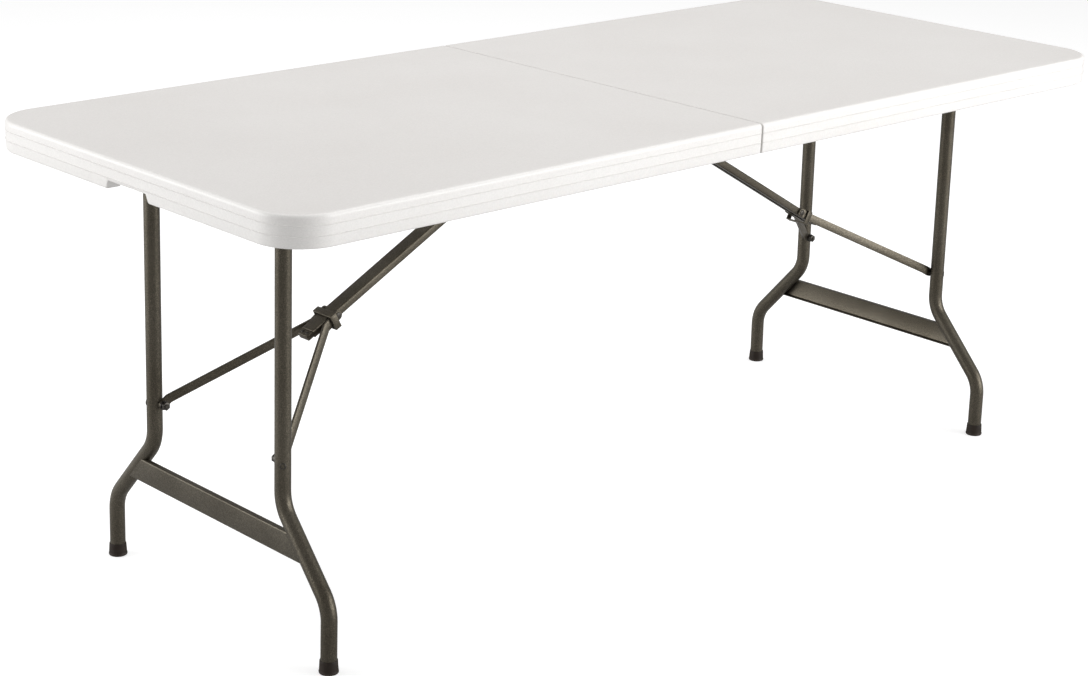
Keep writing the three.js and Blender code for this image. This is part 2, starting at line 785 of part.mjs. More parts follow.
const table = new THREE.Group();
addHalf(table, 'left');
addHandle(addHalf(table, 'right'));
for (const [name, turn] of [['front', Math.PI / 2], ['rear', -Math.PI / 2]]) {
  add(table, `${name}_hinge_pin`, hingePin(), zinc, [0, 0, hingeZ]).rotation.x = turn;
}

export default table;
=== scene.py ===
import json
import math

import bmesh
import bpy
from mathutils import Matrix, Vector

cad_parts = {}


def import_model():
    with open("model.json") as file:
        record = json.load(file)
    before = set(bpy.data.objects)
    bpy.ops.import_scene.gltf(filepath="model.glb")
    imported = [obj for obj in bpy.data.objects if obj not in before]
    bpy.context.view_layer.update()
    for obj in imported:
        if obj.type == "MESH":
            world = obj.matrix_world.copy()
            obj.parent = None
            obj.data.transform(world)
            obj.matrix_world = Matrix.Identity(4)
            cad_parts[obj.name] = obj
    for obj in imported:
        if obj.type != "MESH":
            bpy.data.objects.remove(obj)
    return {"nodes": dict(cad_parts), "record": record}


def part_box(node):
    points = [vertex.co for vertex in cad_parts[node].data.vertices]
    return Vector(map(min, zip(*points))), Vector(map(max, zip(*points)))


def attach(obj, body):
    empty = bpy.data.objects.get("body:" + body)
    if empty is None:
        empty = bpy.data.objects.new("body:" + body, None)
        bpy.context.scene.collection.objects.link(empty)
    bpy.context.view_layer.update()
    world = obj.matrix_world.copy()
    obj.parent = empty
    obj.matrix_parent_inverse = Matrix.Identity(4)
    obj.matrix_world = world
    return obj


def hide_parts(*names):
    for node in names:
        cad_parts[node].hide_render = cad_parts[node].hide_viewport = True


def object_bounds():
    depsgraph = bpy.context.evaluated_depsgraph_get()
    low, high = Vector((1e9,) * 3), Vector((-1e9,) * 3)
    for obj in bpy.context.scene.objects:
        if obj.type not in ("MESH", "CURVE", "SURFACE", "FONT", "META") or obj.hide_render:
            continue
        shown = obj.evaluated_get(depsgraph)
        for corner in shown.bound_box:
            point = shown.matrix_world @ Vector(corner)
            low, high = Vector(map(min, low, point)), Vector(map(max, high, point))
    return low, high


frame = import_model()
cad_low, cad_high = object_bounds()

MM = 0.001
MERGE = 1e-6
FLAT = 1e-5
UPRIGHT = 0.99
ON_PLANE = 1e-7
CREASE = 32
X, Y, Z = Vector((1, 0, 0)), Vector((0, 1, 0)), Vector((0, 0, 1))
SIDES = ("left", "right")
EDGES = ("front", "rear")
JOINTS = {joint["name"]: joint for joint in frame["record"]["behaviour"]["joints"]}

# ---- Sizes in metres, in a half's own frame: +X runs from the centre seam to the half's end ----

HALF_LENGTH = cad_high.x
HALF_WIDTH = cad_high.y
TOP = cad_high.z
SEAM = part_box("right_panel")[0].x
RIM_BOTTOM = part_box("right_panel")[0].z
UNDERSIDE = TOP - 16 * MM
RIM_WIDTH = 26 * MM
CORNER = 75 * MM
TOP_ROUND = 6 * MM
BOTTOM_ROUND = 3.5 * MM
BEAD = 1 * MM
BEAD_RUN = 1.4 * MM
FIRST_BEAD = 14 * MM
SECOND_BEAD = 29 * MM
BAND_TUCK = 0.4 * MM
BAND_START = 0.5 * MM
CORNER_STEPS = 20
TOP_MARGIN = 2 * MM
INNER_ROUND = 3 * MM
POCKET_ROUND = 4 * MM
LIP_LEVEL = TOP - 30 * MM
LIP_WIDTH = 18 * MM
SEAM_ROUND = 3 * MM
SEAM_STEPS = 3
SEAM_STRIP = 4 * MM
# Distances from the seam over which painted shade darkens the top along the seam groove.
SEAM_SHADE_BAND = (1.4 * MM, 2.6 * MM)
NOTCH_HALF = 50 * MM
NOTCH_LIFT = 12.5 * MM
NOTCH_SHOULDER = 4 * MM
NOTCH_MARGIN = 2 * MM
DIMPLE_PITCH = 50 * MM
DIMPLE_CELL = 30 * MM
DIMPLE_EDGE = 6 * MM
DIMPLE_CORNER = 5.2 * MM
DIMPLE_STEPS = ((0.8 * MM, 0.4 * MM), (1.4 * MM, 3.6 * MM), (1 * MM, 1.4 * MM), (1.6 * MM, 0.4 * MM))
DIMPLE_COLUMNS = 17
DIMPLE_ROWS = 6
FIRST_DIMPLE = LIP_WIDTH + 40 * MM

RAIL_SHEET = 1.8 * MM
RAIL_BEND = 3 * MM
GAP = 0.3 * MM
SCREW_HEAD, SCREW_HEIGHT = 4.5 * MM, 2.2 * MM
HINGE_HEAD, HINGE_SHANK = 6 * MM, 4 * MM

LEG_PIVOT = Vector(JOINTS["right_leg_fold"]["pos_m"])
BRACE_PIN = Vector(JOINTS["right_upper_brace_swing"]["pos_m"])
HANDLE = Vector(JOINTS["handle_swing"]["pos_m"])

TUBE = 12.5 * MM
LEAN = math.radians(0.9)
TUBE_END = 5.3 * MM
NECK = 6 * MM
TOP_TUBE_HALF = 331 * MM
WELD_BEAD = 1.8 * MM
WELD_RIPPLES = 9
UPPER_SPREAD = 165 * MM
FOOT_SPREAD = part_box("right_rear_foot_cap")[1].y - 15 * MM
UPPER_BEND = 227 * MM
LOWER_BEND = 103 * MM
TUBE_BEND = 60 * MM
KNEE_DROP = 404.5 * MM
KNEE_INSET = 5 * MM
KNEE_RIVET_FACE = Vector((0.6, 0.8, 0))
KNEE_SHAFT = 3.6 * MM
KNEE_SHAFT_LENGTH = 16 * MM
KNEE_SHAFT_ROOT = 6 * MM
FOOT_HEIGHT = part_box("right_rear_foot_cap")[1].z
FOOT_SOLE, FOOT_NECK = 15 * MM, 13.7 * MM
STRETCHER_LOW, STRETCHER_HIGH = 155 * MM, 194 * MM
STRETCHER_WEB, STRETCHER_LIP = 11.5 * MM, 2 * MM
STRETCHER_BEND = 2.5 * MM
STRETCHER_LAP = 5 * MM

BRACE_WIDTH = 27 * MM
BRACE_DEPTH = 13.5 * MM
BRACE_HEEL = 6 * MM
BRACE_LIP = 9 * MM
BRACE_BEND = 2.6 * MM
BRACE_TAIL = 62 * MM
BLOCK_LENGTH = 21 * MM
BLOCK_SHOWS = 13 * MM
BLOCK_SETBACK = 1 * MM
BLOCK_EDGE = 1.2 * MM
BLOCK_RIVET = 2.8 * MM
BLOCK_RIVET_SPREAD = 5.5 * MM
SHEET = 1.6 * MM
SHEET_EDGE = 0.4 * MM
WASHER, WASHER_THICKNESS = 7.5 * MM, 2.4 * MM
NUT, NUT_HEIGHT, NUT_GAP = 7 * MM, 6 * MM, 0.2 * MM

HANDLE_REACH, HANDLE_HALF = 55 * MM, 42 * MM
HANDLE_WIRE, HANDLE_BEND = 3.5 * MM, 7 * MM
SLEEVE, SLEEVE_GROOVES = 5.2 * MM, 5

HALF_FRAME = {"right": Matrix.Identity(4), "left": Matrix.Rotation(math.pi, 4, "Z")}
LEG_FRAME = Matrix.Translation(LEG_PIVOT) @ Matrix.Rotation(-LEAN, 4, "Y")


def brace_line(side):
    """A half's upper brace: its length from pin to elbow, and its frame with +X along it."""
    elbow = HALF_FRAME[side].inverted() @ Vector(JOINTS[f"{side}_lower_brace_swing"]["pos_m"])
    slope = math.atan2(BRACE_PIN.z - elbow.z, elbow.x - BRACE_PIN.x)
    frame_of = HALF_FRAME[side] @ Matrix.Translation(BRACE_PIN) @ Matrix.Rotation(slope, 4, "Y")
    return (elbow - BRACE_PIN).length, frame_of


def own_edge(side, edge):
    """Sign of an edge's Y in its half's own frame, which is turned half round for the left half."""
    world = 1 if edge == "rear" else -1
    return world if side == "right" else -world


# ---- Mesh work ------------------------------------------------------------------------------------


def place(bm, matrix):
    bmesh.ops.transform(bm, matrix=matrix, verts=bm.verts[:])


def soften(bm, width, segments=2, corner=35, edges=None):
    """Rounds every edge that turns more than the corner angle."""
    bm.normal_update()
    sharp = [edge for edge in edges or bm.edges
             if len(edge.link_faces) == 2 and edge.calc_face_angle(0) > math.radians(corner)]
    bmesh.ops.bevel(bm, geom=sharp, affect="EDGES", offset=width, segments=segments, profile=0.5,
                    material=-1, clamp_overlap=True)


def mend(bm):
    """Closes seams and poles and turns the faces outwards."""
    bmesh.ops.remove_doubles(bm, verts=bm.verts[:], dist=MERGE)
    bmesh.ops.recalc_face_normals(bm, faces=bm.faces[:])


def finish_piece(name, bm, finish, body, replaced=()):
    """Makes the object of a finished mesh, with its finish and its body, and hides the CAD nodes it stands
    for.
    """
    bmesh.ops.recalc_face_normals(bm, faces=bm.faces[:])
    mesh = bpy.data.meshes.new(name)
    bm.to_mesh(mesh)
    bm.free()
    mesh.shade_smooth()
    mesh.set_sharp_from_angle(angle=math.radians(CREASE))
    piece = bpy.data.objects.new(name, mesh)
    bpy.context.collection.objects.link(piece)
    mesh.materials.append(FINISHES[finish])
    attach(piece, body)
    if replaced:
        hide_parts(*replaced)


def turned(bm, outline, centre=(0, 0, 0), axis=Z, steps=24):
    """Spins an outline of (radius, height along the axis) points into a round piece."""
    centre, axis = Vector(centre), Vector(axis)
    across = axis.orthogonal().normalized()
    verts = [bm.verts.new(centre + across * radius + axis * height) for radius, height in outline]
    edges = [bm.edges.new(pair) for pair in zip(verts, verts[1:])]
    bmesh.ops.spin(bm, geom=verts + edges, cent=centre, axis=axis, angle=math.tau, steps=steps,
                   use_merge=True)
    bmesh.ops.remove_doubles(bm, verts=bm.verts[:], dist=MERGE)


def both_ways(outline):
    """An outline of one end of a round piece, and its mirror image at the other end."""
    return outline + [(radius, -height) for radius, height in reversed(outline)]


def quarter(radius, steps):
    """Steps of a quarter round as (away from the level face, along it) pairs."""
    for i in range(steps):
        low, high = (math.pi / 2 * (i + k) / steps for k in (0, 1))
        yield radius * (math.cos(low) - math.cos(high)), radius * (math.sin(high) - math.sin(low))


def dome(radius, height, base=0.0, steps=6, closed=False):
    """Outline points of a domed head from its edge to its top."""
    angles = (math.pi / 2 * i / steps for i in range(steps + closed))
    return [(radius * math.cos(a), base + height * math.sin(a)) for a in angles]


def pull(bm, edges, move):
    """Extrudes a loop of edges in a straight line and gives the new loop."""
    made = bmesh.ops.extrude_edge_only(bm, edges=edges)["geom"]
    verts = [part for part in made if isinstance(part, bmesh.types.BMVert)]
    bmesh.ops.translate(bm, vec=move, verts=verts)
    return [part for part in made if isinstance(part, bmesh.types.BMEdge)
            and all(vert in verts for vert in part.verts)]


def bent_tube(bm, radius, corners, bend, sides=24, steps=8):
    """A round bar through corner points, each corner bent to one radius."""
    corners = [Vector(corner) for corner in corners]
    here, heading = corners[0], (corners[1] - corners[0]).normalized()
    start = Matrix.Translation(here) @ heading.to_track_quat("Z", "X").to_matrix().to_4x4()
    ring = bmesh.ops.create_circle(bm, cap_ends=False, segments=sides, radius=radius, matrix=start)
    loop = list({edge for vert in ring["verts"] for edge in vert.link_edges})
    for corner, after in zip(corners[1:], corners[2:]):
        leaving = (after - corner).normalized()
        angle = heading.angle(leaving)
        reach = bend * math.tan(angle / 2)
        loop = pull(bm, loop, corner - heading * reach - here)
        centre = corner + (leaving - heading).normalized() * bend / math.cos(angle / 2)
        made = bmesh.ops.spin(bm, geom=loop, cent=centre, axis=heading.cross(leaving).normalized(),
                              angle=angle, steps=steps)["geom_last"]
        loop = [part for part in made if isinstance(part, bmesh.types.BMEdge)]
        here, heading = corner + leaving * reach, leaving
    pull(bm, loop, corners[-1] - here)
    open_edges = [edge for edge in bm.edges if len(edge.link_faces) == 1]
    bmesh.ops.holes_fill(bm, edges=open_edges, sides=0)


def folded_sheet(bm, section, start, finish, bend):
    """A sheet-metal section, given as points in the plane across the run, rolled to a bend radius."""
    start, finish = Vector(start), Vector(finish)
    verts = [bm.verts.new(start + Vector(point)) for point in section]
    for pair in zip(verts, verts[1:]):
        bm.edges.new(pair)
    bmesh.ops.bevel(bm, geom=verts[1:-1], affect="VERTICES", offset=bend, segments=4, profile=0.5,
                    material=-1)
    pull(bm, bm.edges[:], finish - start)


def trim(bm, point, normal, close=True):
    """Cuts away what lies on the plane's negative side, and gives the new end faces or open edges."""
    cut = bmesh.ops.bisect_plane(bm, geom=bm.verts[:] + bm.edges[:] + bm.faces[:], dist=ON_PLANE,
                                 plane_co=point, plane_no=normal, clear_inner=True)["geom_cut"]
    edges = [part for part in cut if isinstance(part, bmesh.types.BMEdge)]
    if not close:
        return edges
    return bmesh.ops.edgeloop_fill(bm, edges=edges)["faces"]


def softened_copy(node, name, finish, body, width):
    """A CAD node's own shape with its edges rounded."""
    bm = bmesh.new()
    bm.from_mesh(frame["nodes"][node].data)
    bmesh.ops.remove_doubles(bm, verts=bm.verts[:], dist=MERGE)
    bmesh.ops.dissolve_limit(bm, angle_limit=math.radians(1), verts=bm.verts[:], edges=bm.edges[:])
    soften(bm, width)
    finish_piece(name, bm, finish, body, (node,))


# ---- Finishes -------------------------------------------------------------------------------------


class Finish:
    """A material whose colour, roughness and bump come from patterns on the object's own coordinates."""

    def __init__(self, name):
        self.material = bpy.data.materials.new(name)
        self.material.use_nodes = True
        self.nodes = self.material.node_tree.nodes
        self.links = self.material.node_tree.links
        self.shader = self.nodes["Principled BSDF"]
        self.place = self.nodes.new("ShaderNodeTexCoord").outputs["Object"]

    def noise(self, scale, detail=2.0, roughness=0.5):
        node = self.nodes.new("ShaderNodeTexNoise")
        node.inputs["Scale"].default_value = scale
        node.inputs["Detail"].default_value = detail
        node.inputs["Roughness"].default_value = roughness
        self.links.new(self.place, node.inputs["Vector"])
        return node.outputs["Fac"]

    def cells(self, scale):
        node = self.nodes.new("ShaderNodeTexVoronoi")
        node.feature = "SMOOTH_F1"
        node.inputs["Scale"].default_value = scale
        self.links.new(self.place, node.inputs["Vector"])
        return node.outputs["Distance"]

    def ramp(self, value, stops):
        """Maps a value through (position, colour) stops."""
        node = self.nodes.new("ShaderNodeValToRGB")
        bands = node.color_ramp.elements
        while len(bands) < len(stops):
            bands.new(0.5)
        for band, (position, colour) in zip(bands, stops):
            band.position = position
            band.color = (*colour, 1)
        self.links.new(value, node.inputs["Fac"])
        return node.outputs["Color"]

    def spread(self, value, low, high, out_low, out_high):
        node = self.nodes.new("ShaderNodeMapRange")
        for socket, number in zip(node.inputs[1:5], (low, high, out_low, out_high)):
            socket.default_value = number
        self.links.new(value, node.inputs["Value"])
        return node.outputs["Result"]

    def blend(self, kind, factor, first, second):
        node = self.nodes.new("ShaderNodeMix")
        node.data_type = "RGBA"
        node.blend_type = kind
        if isinstance(factor, float):
            node.inputs["Factor"].default_value = factor
        else:
            self.links.new(factor, node.inputs["Factor"])
        for socket, colour in ((node.inputs[6], first), (node.inputs[7], second)):
            if isinstance(colour, tuple):
                socket.default_value = (*colour, 1)
            else:
                self.links.new(colour, socket)
        return node.outputs[2]

    def height(self):
        """Height of a point above the floor."""
        node = self.nodes.new("ShaderNodeSeparateXYZ")
        self.links.new(self.place, node.inputs["Vector"])
        return node.outputs["Z"]

    def from_seam(self):
        """Distance of a point from the plane of the centre seam."""
        parts = self.nodes.new("ShaderNodeSeparateXYZ")
        self.links.new(self.place, parts.inputs["Vector"])
        away = self.nodes.new("ShaderNodeMath")
        away.operation = "ABSOLUTE"
        self.links.new(parts.outputs["X"], away.inputs[0])
        return away.outputs["Value"]

    def times(self, first, second):
        node = self.nodes.new("ShaderNodeMath")
        node.operation = "MULTIPLY"
        self.links.new(first, node.inputs[0])
        self.links.new(second, node.inputs[1])
        return node.outputs["Value"]

    def bump(self, height, distance, strength=1.0, after=None):
        node = self.nodes.new("ShaderNodeBump")
        node.inputs["Distance"].default_value = distance
        if isinstance(strength, float):
            node.inputs["Strength"].default_value = strength
        else:
            self.links.new(strength, node.inputs["Strength"])
        self.links.new(height, node.inputs["Height"])
        if after:
            self.links.new(after, node.inputs["Normal"])
        return node.outputs["Normal"]

    def done(self, colour, roughness, normal, metallic=0.0, specular=0.5):
        self.links.new(colour, self.shader.inputs["Base Color"])
        self.links.new(roughness, self.shader.inputs["Roughness"])
        self.links.new(normal, self.shader.inputs["Normal"])
        self.shader.inputs["Metallic"].default_value = metallic
        self.shader.inputs["Specular IOR Level"].default_value = specular
        return self.material


def moulded_top_finish():
    """Off-white polyethylene: pebbled over the flat top, smoother on the rim, faintly cloudy; painted shade
    makes the flat top darker than the rim and darkens a band along the centre seam.
    """
    make = Finish("off_white_polyethylene")
    clouds = make.ramp(make.noise(5, 3), [(0.3, (0.79, 0.772, 0.752)), (0.7, (0.815, 0.8, 0.782))])
    grain = make.ramp(make.noise(420, 2), [(0.35, (0.95, 0.95, 0.95)), (0.65, (1, 1, 1))])
    on_top = make.spread(make.height(), TOP - 1.5 * MM, TOP - 0.2 * MM, 0.12, 1.0)
    # Painted shade: the flat top is coloured darker than the rim.
    painted_top_shade = make.ramp(on_top, [(0.12, (1, 1, 1)), (1.0, (0.84, 0.832, 0.828))])
    # Painted shade: a darker band along the centre seam groove.
    seam_shade_fade = make.spread(make.from_seam(), *SEAM_SHADE_BAND, 0.0, 1.0)
    seam_painted_shade = make.ramp(seam_shade_fade, [(0, (0.78, 0.775, 0.765)), (1, (1, 1, 1))])
    colour = make.blend("MULTIPLY", 1.0, make.blend("MULTIPLY", 1.0, clouds, grain), painted_top_shade)
    colour = make.blend("MULTIPLY", 1.0, colour, seam_painted_shade)
    roughness = make.spread(on_top, 0.12, 1.0, 0.36, 0.5)
    pebbles = make.bump(make.noise(520, 2, 0.6), 0.35 * MM, on_top)
    normal = make.bump(make.noise(14, 2), 1.2 * MM, 0.12, pebbles)
    return make.done(colour, roughness, normal, specular=0.45)


def coated_steel_finish():
    """Grey-brown powder coat with a hammered surface and paler flecks."""
    make = Finish("hammered_grey_brown_coat")
    tone = make.ramp(make.noise(9, 2), [(0.3, (0.066, 0.057, 0.042)), (0.7, (0.094, 0.083, 0.064))])
    flecks = make.ramp(make.noise(900, 2, 0.65), [(0.45, (0.8, 0.8, 0.8)), (0.7, (2.0, 2.0, 2.0))])
    colour = make.blend("MULTIPLY", 1.0, tone, flecks)
    dimples = make.cells(520)
    roughness = make.spread(make.noise(300), 0.3, 0.7, 0.34, 0.46)
    normal = make.bump(dimples, 0.5 * MM, 0.5)
    return make.done(colour, roughness, normal, metallic=0.75, specular=0.3)


def fastener_steel_finish():
    """Dull dark plated steel."""
    make = Finish("dull_plated_steel")
    colour = make.ramp(make.noise(120, 3), [(0.3, (0.045, 0.041, 0.036)), (0.7, (0.085, 0.079, 0.07))])
    roughness = make.spread(make.noise(260, 3), 0.3, 0.7, 0.3, 0.5)
    normal = make.bump(make.noise(900, 2), 0.1 * MM, 0.3)
    return make.done(colour, roughness, normal, metallic=0.85)


def foot_plastic_finish():
    """Matt dark brown soft plastic, scuffed paler at the sole."""
    make = Finish("dark_brown_foot_plastic")
    tone = make.ramp(make.noise(60, 3), [(0.3, (0.014, 0.009, 0.006)), (0.7, (0.024, 0.016, 0.011))])
    worn = make.spread(make.height(), 0.0, 5 * MM, 1.0, 0.0)
    scuffs = make.times(worn, make.noise(420, 3))
    colour = make.blend("MIX", scuffs, tone, (0.07, 0.058, 0.048))
    roughness = make.spread(make.noise(200, 2), 0.3, 0.7, 0.5, 0.68)
    normal = make.bump(make.noise(900, 2), 0.15 * MM, 0.5)
    return make.done(colour, roughness, normal, specular=0.25)


def handle_plastic_finish():
    """Matt dark grey-brown plastic with a fine grain."""
    make = Finish("dark_handle_plastic")
    colour = make.ramp(make.noise(40, 3), [(0.3, (0.05, 0.044, 0.038)), (0.7, (0.068, 0.061, 0.054))])
    roughness = make.spread(make.noise(180, 2), 0.3, 0.7, 0.42, 0.58)
    normal = make.bump(make.noise(1100, 2), 0.12 * MM, 0.5)
    return make.done(colour, roughness, normal, specular=0.45)


FLOOR_GLOW = 0.6


def floor_finish():
    """Plain pale studio paper."""
    make = Finish("pale_studio_floor")
    colour = make.ramp(make.noise(0.6, 2), [(0.3, (0.6, 0.6, 0.6)), (0.7, (0.62, 0.62, 0.62))])
    roughness = make.spread(make.noise(30, 2), 0.3, 0.7, 0.75, 0.85)
    normal = make.bump(make.noise(300, 2), 0.1 * MM, 0.1)
    seen = make.nodes.new("ShaderNodeLightPath").outputs["Is Camera Ray"]
    make.links.new(make.spread(seen, 0.0, 1.0, 0.0, FLOOR_GLOW), make.shader.inputs["Emission Strength"])
    make.shader.inputs["Emission Color"].default_value = (1, 1, 1, 1)
    return make.done(colour, roughness, normal, specular=0.2)


FINISHES = {
    "moulded_top": moulded_top_finish(),
    "coated_steel": coated_steel_finish(),
    "fastener_steel": fastener_steel_finish(),
    "foot_plastic": foot_plastic_finish(),
    "handle_plastic": handle_plastic_finish(),
}

# ---- Moulded top ----------------------------------------------------------------------------------


def step(bm, face, inward, rise):
    """Shrinks a level face inwards by one length and lifts it by another, leaving a strip round it."""
    bmesh.ops.inset_region(bm, faces=[face], thickness=inward, depth=0, use_even_offset=True,
                           use_boundary=True)
    bmesh.ops.translate(bm, vec=(0, 0, rise), verts=face.verts[:])


def round_over(bm, face, radius, rise, steps=5, hollow=False):
    """Quarter-round strips from a face's edge: level at the end, or level at the start if hollow."""
    for bend, level in quarter(radius, steps):
        inward, up = (level, bend) if hollow else (bend, level)
        step(bm, face, inward, math.copysign(up, rise))


def rim_wall(bm, face):
    """The rim's outer wall, from the top band down: two fine beads and a tucked lower band."""
    depth = TOP - TOP_ROUND
    for bead in (FIRST_BEAD, SECOND_BEAD):
        step(bm, face, 0, -(depth - (TOP - bead)))
        step(bm, face, -BEAD, -BEAD_RUN / 2)
        step(bm, face, BEAD, -BEAD_RUN)
        depth = TOP - bead - BEAD_RUN * 1.5
    step(bm, face, BAND_TUCK, -(depth - (RIM_BOTTOM + BOTTOM_ROUND)))
    round_over(bm, face, BOTTOM_ROUND, -1)


def underside_faces(bm, level):
    """Faces that lie flat at one height."""
    bm.normal_update()
    return [face for face in bm.faces
            if abs(face.calc_center_median().z - level) < FLAT and abs(face.normal.z) > UPRIGHT]


def score(bm, faces, point, normal):
    """Cuts lines across some faces without parting them."""
    parts = {part for face in faces for part in (face, *face.edges, *face.verts)}
    bmesh.ops.bisect_plane(bm, geom=list(parts), dist=ON_PLANE, plane_co=point, plane_no=normal)


def dimples(bm):
    """A grid of cups where the two skins of the blow moulding are pinched together."""
    half = DIMPLE_CELL / 2
    columns = [FIRST_DIMPLE + i * DIMPLE_PITCH for i in range(DIMPLE_COLUMNS)]
    rows = [i * DIMPLE_PITCH for i in range(-DIMPLE_ROWS, DIMPLE_ROWS + 1)]
    for axis, middles in ((X, columns), (Y, rows)):
        for middle in middles:
            for edge in (middle - half, middle + half):
                score(bm, underside_faces(bm, UNDERSIDE), axis * edge, axis)

    def centred():
        """The faces that sit in the middle of the grid's cells."""
        found = []
        for face in underside_faces(bm, UNDERSIDE):
            centre = face.calc_center_median()
            if any(abs(centre.x - x) < MM for x in columns) and any(abs(centre.y - y) < MM for y in rows):
                found.append(face)
        return found

    cells = centred()
    bmesh.ops.inset_individual(bm, faces=cells, thickness=DIMPLE_EDGE, use_even_offset=True)
    corners = {vert for face in cells for vert in face.verts}
    bmesh.ops.bevel(bm, geom=list(corners), affect="VERTICES", offset=DIMPLE_CORNER, segments=1,
                    profile=0.5, material=-1)
    cells = centred()
    for inward, rise in DIMPLE_STEPS:
        bmesh.ops.inset_individual(bm, faces=cells, thickness=inward, use_even_offset=True)
        rim = list({vert for face in cells for vert in face.verts})
        bmesh.ops.translate(bm, vec=(0, 0, rise), verts=rim)


def end_notch(bm):
    """Lifts the bottom of the end rim over the middle, with moulded shoulders."""
    inside = HALF_LENGTH - RIM_WIDTH - NOTCH_MARGIN
    ceiling = TOP - SECOND_BEAD - NOTCH_MARGIN
    fixed = RIM_BOTTOM + BOTTOM_ROUND
    cuts = [NOTCH_HALF + NOTCH_SHOULDER * (i / 4 - 1) for i in range(9)]
    for offset in [sign * y for y in cuts for sign in (-1, 1)]:
        wall = [face for face in bm.faces if face.calc_center_median().x > inside
                and face.calc_center_median().z < TOP - SECOND_BEAD + NOTCH_MARGIN]
        score(bm, wall, (0, offset, 0), Y)
    for vert in bm.verts:
        if vert.co.x > inside and vert.co.z < ceiling:
            from_end = NOTCH_HALF + NOTCH_SHOULDER - abs(vert.co.y)
            across = min(max(from_end / (2 * NOTCH_SHOULDER), 0), 1)
            share = across * across * (3 - 2 * across)
            fade = min((ceiling - vert.co.z) / (ceiling - fixed), 1)
            vert.co.z += NOTCH_LIFT * share * fade


def moulded_top(side):
    bm = bmesh.new()
    inset = HALF_WIDTH - BEAD
    overrun = 60 * MM
    end = HALF_LENGTH - BEAD
    band = TOP - TOP_ROUND
    plan = [bm.verts.new(point) for point in
            ((-overrun, -inset, band), (end, -inset, band), (end, inset, band), (-overrun, inset, band))]
    bm.faces.new(plan)
    bmesh.ops.bevel(bm, geom=plan[1:3], affect="VERTICES", offset=CORNER, segments=CORNER_STEPS,
                    profile=0.5, material=-1)
    lower = bm.faces[:][0]
    made = bmesh.ops.extrude_face_region(bm, geom=[lower])["geom"]
    upper = next(part for part in made if isinstance(part, bmesh.types.BMFace))
    bmesh.ops.translate(bm, vec=(0, 0, -BAND_START), verts=lower.verts[:])
    bm.normal_update()
    round_over(bm, upper, TOP_ROUND, 1)
    step(bm, upper, TOP_MARGIN, 0)
    rim_wall(bm, lower)
    step(bm, lower, RIM_WIDTH - BAND_TUCK - BOTTOM_ROUND - INNER_ROUND, 0)
    round_over(bm, lower, INNER_ROUND, 1, 3, hollow=True)
    step(bm, lower, 0, LIP_LEVEL - lower.calc_center_median().z)
    score(bm, [lower], (LIP_WIDTH, 0, 0), X)
    pocket = max(underside_faces(bm, LIP_LEVEL), key=lambda face: face.calc_area())
    step(bm, pocket, 0, UNDERSIDE - LIP_LEVEL - POCKET_ROUND)
    round_over(bm, pocket, POCKET_ROUND, 1, 4)
    dimples(bm)
    end_notch(bm)
    score(bm, bm.faces[:], (SEAM + SEAM_STRIP, 0, 0), X)
    cap = trim(bm, (SEAM + SEAM_ROUND, 0, 0), X)
    for inward, out in quarter(SEAM_ROUND, SEAM_STEPS):
        bmesh.ops.inset_region(bm, faces=cap, thickness=inward, depth=0, use_even_offset=True,
                               use_boundary=True)
        verts = list({vert for face in cap for vert in face.verts})
        bmesh.ops.translate(bm, vec=(-out, 0, 0), verts=verts)
    place(bm, HALF_FRAME[side])
    mend(bm)
    finish_piece(f"{side}_moulded_top", bm, "moulded_top", f"{side}_half", (f"{side}_panel",))


# ---- Rails and hinges -----------------------------------------------------------------------------


def pan_head(bm, centre, axis, radius, height):
    """A domed screw head on its shank, with a recess for the driver."""
    shank, bottom = radius * 0.42, radius * 0.36
    socket = [(shank, height), (bottom, height * 0.45), (0, height * 0.35)]
    head = dome(radius, height * 0.65, height * 0.35)
    turned(bm, [(0, -height), (shank, -height), (shank, 0), (radius, 0), *head, *socket], centre, axis, 20)


def rail_screws(side, edge):
    y = sum(corner.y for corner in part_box(f"{side}_{edge}_seam_screw")) / 2
    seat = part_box(f"{side}_{edge}_rail")[1].z - RAIL_SHEET - GAP
    for end in ("seam", "leg"):
        node = f"{side}_{edge}_{end}_screw"
        bm = bmesh.new()
        low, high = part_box(node)
        pan_head(bm, ((low.x + high.x) / 2, y, seat), -Z, SCREW_HEAD, SCREW_HEIGHT)
        finish_piece(f"{side}_{edge}_{end}_rail_screw", bm, "fastener_steel", f"{side}_half", (node,))


def side_rail(side, edge):
    """C channel that opens towards the rim, with bent edges."""
    node = f"{side}_{edge}_rail"
    low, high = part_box(node)
    inner, outer = (low.y, high.y) if edge == "rear" else (high.y, low.y)
    bm = bmesh.new()
    section = [(0, outer, low.z), (0, inner, low.z), (0, inner, high.z), (0, outer, high.z)]
    folded_sheet(bm, section, (low.x, 0, 0), (high.x, 0, 0), RAIL_BEND)
    thicken_inwards(bm, RAIL_SHEET, (low + high) / 2)
    soften(bm, SHEET_EDGE, 1, 60)
    finish_piece(f"{side}_{edge}_side_rail", bm, "coated_steel", f"{side}_half", (node,))


def thicken_inwards(bm, sheet, inside):
    """Gives a folded sheet its thickness on the side that faces a point inside the fold."""
    bmesh.ops.remove_doubles(bm, verts=bm.verts[:], dist=MERGE)
    bmesh.ops.recalc_face_normals(bm, faces=bm.faces[:])
    bm.normal_update()
    widest = max(bm.faces, key=lambda face: face.calc_area())
    facing = (inside - widest.calc_center_median()).dot(widest.normal) > 0
    bmesh.ops.solidify(bm, geom=bm.faces[:], thickness=-sheet if facing else sheet)


